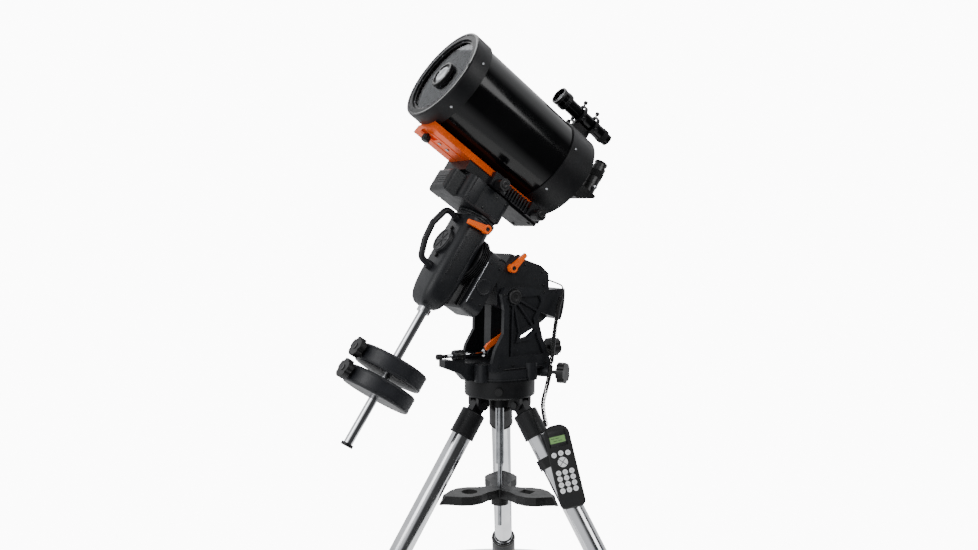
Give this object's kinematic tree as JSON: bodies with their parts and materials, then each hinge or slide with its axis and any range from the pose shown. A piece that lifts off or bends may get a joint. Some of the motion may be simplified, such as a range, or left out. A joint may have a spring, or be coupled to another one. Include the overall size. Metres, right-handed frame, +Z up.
{
  "type": "schmidt cassegrain telescope",
  "caption": "Folded-light-path telescope on a driven equatorial mount with counterweights, a folding tripod, a finder and a corded hand control.",
  "frame": {"origin": "on the tripod's axis at the floor", "axes": "+Z up, the polar axis leans towards -Y, +X is the side with the clutch levers"},
  "size_m": [0.8179, 0.8236, 1.5179],
  "materials": {
    "dark_casting": "satin",
    "black_casting": "satin",
    "polished_steel": "polished",
    "zinc_bolts": "satin",
    "black_plastic": "matte",
    "grey_plastic": "fine texture",
    "orange_metal": "gloss",
    "black_tube": "gloss",
    "glass": "clear",
    "mirror": "mirror",
    "weight_iron": "painted satin",
    "grey_key": "matte",
    "screen": "backlit",
    "cord": "satin",
    "chrome": "polished"
  },
  "bodies": {
    "tripod": {"tripod_head": "black_casting", "tripod_head_bolts": "zinc_bolts", "centre_rod": "zinc_bolts"},
    "tension_knob_body": {"tension_knob": "black_plastic"},
    "spreader": {"spreader_tray": "black_plastic"},
    "azimuth": {"azimuth_base": "dark_casting", "cord_coil_middle": "cord"},
    "azimuth_knob_near_body": {"azimuth_knob_near": "black_plastic"},
    "azimuth_knob_far_body": {"azimuth_knob_far": "black_plastic"},
    "front_screw": {"front_altitude_screw": "chrome"},
    "rear_screw": {"rear_altitude_screw": "black_plastic"},
    "altitude": {"polar_housing": "dark_casting", "polar_gear_case": "dark_casting", "cord_lead": "cord"},
    "altitude_lever": {"altitude_lock_lever": "orange_metal"},
    "polar_clutch": {"polar_clutch_lever": "orange_metal"},
    "right_ascension": {"declination_housing": "dark_casting", "carry_handle": "dark_casting", "declination_head": "dark_casting", "declination_motor_box": "grey_plastic", "counterweight_shaft": "chrome"},
    "port_cap": {"polar_port_cap": "grey_plastic"},
    "declination_clutch": {"declination_clutch_lever": "orange_metal"},
    "end_screw": {"shaft_end_screw": "black_plastic"},
    "upper_weight": {"upper_counterweight": "weight_iron"},
    "upper_weight_knob": {"upper_counterweight_knob": "black_plastic"},
    "lower_weight": {"lower_counterweight": "weight_iron"},
    "lower_weight_knob": {"lower_counterweight_knob": "black_plastic"},
    "declination": {"saddle": "black_casting"},
    "saddle_clamps": {"saddle_knobs": "black_plastic"},
    "tube": {"dovetail_bar": "orange_metal", "front_cell": "black_casting", "corrector_plate": "glass", "secondary_housing": "black_plastic", "tube_skin": "black_tube", "rear_cell": "black_casting", "finder_bracket": "black_casting", "finder_scope": "black_tube"},
    "mirror_cell": {"primary_mirror": "mirror"},
    "focuser": {"focus_knob": "black_plastic"},
    "diagonal": {"star_diagonal": "black_plastic"},
    "ocular": {"eyepiece": "black_plastic"},
    "keys": {"hand_control_keys": "grey_key"},
    "pad": {"direction_pad": "grey_key"},
    "north_leg": {"north_leg_top": "black_casting", "north_leg_tube": "polished_steel"},
    "north_leg_clamp": {"north_leg_knob": "black_plastic"},
    "north_leg_lower": {"north_leg_shin": "polished_steel"},
    "east_leg": {"east_leg_top": "black_casting", "east_leg_tube": "polished_steel", "hand_control_shell": "black_plastic", "hand_control_screen": "screen", "hand_control_holder": "black_plastic", "cord_coil_lower": "cord"},
    "east_leg_clamp": {"east_leg_knob": "black_plastic"},
    "east_leg_lower": {"east_leg_shin": "polished_steel"},
    "west_leg": {"west_leg_top": "black_casting", "west_leg_tube": "polished_steel"},
    "west_leg_clamp": {"west_leg_knob": "black_plastic"},
    "west_leg_lower": {"west_leg_shin": "polished_steel"}
  },
  "joints": [
    {"name": "north_leg_fold", "type": "hinge", "parent": "tripod", "child": "north_leg", "pos_m": [-0.00523, -0.05977, 0.612], "axis": [0.9962, -0.0872, 0], "range_deg": [0, 24]},
    {"name": "north_leg_extend", "type": "slide", "parent": "north_leg", "child": "north_leg_lower", "axis": [-0.0462, -0.5279, -0.848], "range_m": [0, 0.36]},
    {"name": "north_leg_clamp_turn", "type": "hinge", "parent": "north_leg", "child": "north_leg_clamp", "pos_m": [-0.03243, -0.37071, 0.1125], "axis": [-0.0739, -0.8448, 0.5299], "range_deg": [-360, 360]},
    {"name": "east_leg_fold", "type": "hinge", "parent": "tripod", "child": "east_leg", "pos_m": [0.05438, 0.02536, 0.612], "axis": [-0.4226, 0.9063, 0], "range_deg": [0, 24], "deforming": ["cord_coil_lower"]},
    {"name": "east_leg_extend", "type": "slide", "parent": "east_leg", "child": "east_leg_lower", "axis": [0.4803, 0.224, -0.848], "range_m": [0, 0.36]},
    {"name": "east_leg_clamp_turn", "type": "hinge", "parent": "east_leg", "child": "east_leg_clamp", "pos_m": [0.33726, 0.15727, 0.1125], "axis": [0.7686, 0.3584, 0.5299], "range_deg": [-360, 360]},
    {"name": "west_leg_fold", "type": "hinge", "parent": "tripod", "child": "west_leg", "pos_m": [-0.04915, 0.03442, 0.612], "axis": [-0.5736, -0.8192, 0], "range_deg": [0, 24]},
    {"name": "west_leg_extend", "type": "slide", "parent": "west_leg", "child": "west_leg_lower", "axis": [-0.4341, 0.3039, -0.848], "range_m": [0, 0.36]},
    {"name": "west_leg_clamp_turn", "type": "hinge", "parent": "west_leg", "child": "west_leg_clamp", "pos_m": [-0.30483, 0.21344, 0.1125], "axis": [-0.6947, 0.4864, 0.5299], "range_deg": [-360, 360]},
    {"name": "tension_knob_slide", "type": "slide", "parent": "tripod", "child": "tension_knob_body", "axis": [0, 0, -1], "range_m": [0, 0.0496]},
    {"name": "spreader_turn", "type": "hinge", "parent": "tension_knob_body", "child": "spreader", "pos_m": [0, 0, 0.378], "axis": [0, 0, 1], "range_deg": [0, 45.1]},
    {"name": "azimuth_turn", "type": "hinge", "parent": "tripod", "child": "azimuth", "pos_m": [0, 0, 0.673], "axis": [0, 0, 1], "range_deg": [-12, 2], "deforming": ["cord_coil_middle"]},
    {"name": "azimuth_knob_near_travel", "type": "slide", "parent": "azimuth", "child": "azimuth_knob_near_body", "axis": [0.848, 0.5299, 0], "range_m": [-0.0095, 0.0095]},
    {"name": "azimuth_knob_far_travel", "type": "slide", "parent": "azimuth", "child": "azimuth_knob_far_body", "axis": [-0.848, 0.5299, 0], "range_m": [-0.0105, 0.0105]},
    {"name": "altitude_tilt", "type": "hinge", "parent": "azimuth", "child": "altitude", "pos_m": [0, -0.008, 0.882], "axis": [-1, 0, 0], "range_deg": [-12, 12], "deforming": ["cord_lead"]},
    {"name": "front_screw_travel", "type": "slide", "parent": "azimuth", "child": "front_screw", "axis": [0, -1, 0], "range_m": [-0.0305, 0.0305]},
    {"name": "rear_screw_travel", "type": "slide", "parent": "azimuth", "child": "rear_screw", "axis": [0, -1, 0], "range_m": [-0.0305, 0.0305]},
    {"name": "altitude_lever_turn", "type": "hinge", "parent": "altitude", "child": "altitude_lever", "pos_m": [0.015, 0.002, 0.787], "axis": [1, 0, 0], "range_deg": [-25, 25]},
    {"name": "polar_clutch_turn", "type": "hinge", "parent": "altitude", "child": "polar_clutch", "pos_m": [0.058, -0.003, 0.951], "axis": [1, 0, 0], "range_deg": [-10, 40]},
    {"name": "right_ascension_turn", "type": "hinge", "parent": "altitude", "child": "right_ascension", "pos_m": [0, -0.123, 0.993], "axis": [0, -0.829, 0.5592], "range_deg": [-95, 95]},
    {"name": "port_cap_pull", "type": "slide", "parent": "right_ascension", "child": "port_cap", "axis": [0, -0.829, 0.5592], "range_m": [0, 0.02]},
    {"name": "declination_clutch_turn", "type": "hinge", "parent": "right_ascension", "child": "declination_clutch", "pos_m": [0.055, -0.07722, 1.04656], "axis": [1, 0, 0], "range_deg": [-30, 30]},
    {"name": "end_screw_turn", "type": "hinge", "parent": "right_ascension", "child": "end_screw", "pos_m": [0, -0.41937, 0.55361], "axis": [0, 0.5592, 0.829], "range_deg": [-360, 360]},
    {"name": "upper_weight_slide", "type": "slide", "parent": "right_ascension", "child": "upper_weight", "axis": [0, 0.5592, 0.829], "range_m": [0, 0.1]},
    {"name": "upper_weight_knob_turn", "type": "hinge", "parent": "upper_weight", "child": "upper_weight_knob", "pos_m": [0, -0.38047, 0.77223], "axis": [0, -0.829, 0.5592], "range_deg": [-360, 360]},
    {"name": "lower_weight_slide", "type": "slide", "parent": "right_ascension", "child": "lower_weight", "axis": [0, -0.5592, -0.829], "range_m": [0, 0.1]},
    {"name": "lower_weight_knob_turn", "type": "hinge", "parent": "lower_weight", "child": "lower_weight_knob", "pos_m": [0, -0.41178, 0.72581], "axis": [0, -0.829, 0.5592], "range_deg": [-360, 360]},
    {"name": "declination_turn", "type": "hinge", "parent": "right_ascension", "child": "declination", "pos_m": [0, -0.03353, 1.12565], "axis": [0, 0.5592, 0.829], "continuous": true},
    {"name": "saddle_clamp_travel", "type": "slide", "parent": "declination", "child": "saddle_clamps", "axis": [1, 0, 0], "range_m": [0, 0.004]},
    {"name": "dovetail_slide", "type": "slide", "parent": "declination", "child": "tube", "axis": [0, -0.829, 0.5592], "range_m": [-0.04, 0.06]},
    {"name": "focus_turn", "type": "hinge", "parent": "tube", "child": "focuser", "pos_m": [-0.052, 0.19287, 1.1394], "axis": [0, 0.829, -0.5592], "range_deg": [-3600, 3600]},
    {"name": "mirror_travel", "type": "slide", "parent": "tube", "child": "mirror_cell", "axis": [0, -0.829, 0.5592], "range_m": [-0.0075, 0.0075]},
    {"name": "diagonal_turn", "type": "hinge", "parent": "tube", "child": "diagonal", "pos_m": [0, 0.26104, 1.1296], "axis": [0, -0.829, 0.5592], "range_deg": [-180, 180]},
    {"name": "eyepiece_draw", "type": "slide", "parent": "diagonal", "child": "ocular", "axis": [0, 0.5592, 0.829], "range_m": [0, 0.024]},
    {"name": "keys_press", "type": "slide", "parent": "east_leg", "child": "keys", "axis": [-0.734, 0.632, -0.2488], "range_m": [0, 0.001], "stiffness_N_per_m": 400},
    {"name": "pad_press", "type": "slide", "parent": "east_leg", "child": "pad", "axis": [-0.734, 0.632, -0.2488], "range_m": [0, 0.001], "stiffness_N_per_m": 400}
  ],
  "couplings": [
    {"joint": "east_leg_fold", "follows": "north_leg_fold", "ratio": 1},
    {"joint": "west_leg_fold", "follows": "north_leg_fold", "ratio": 1},
    {"joint": "tension_knob_slide", "follows": "north_leg_fold", "m_per_rad": 0.11817},
    {"joint": "spreader_turn", "follows": "north_leg_fold", "ratio": 1.875},
    {"joint": "azimuth_knob_near_travel", "follows": "azimuth_turn", "m_per_rad": 0.041529},
    {"joint": "azimuth_knob_far_travel", "follows": "azimuth_turn", "m_per_rad": -0.046332},
    {"joint": "front_screw_travel", "follows": "altitude_tilt", "m_per_rad": 0.144},
    {"joint": "rear_screw_travel", "follows": "altitude_tilt", "m_per_rad": 0.144},
    {"joint": "focus_turn", "follows": "mirror_travel", "rad_per_m": 8377.6}
  ]
}
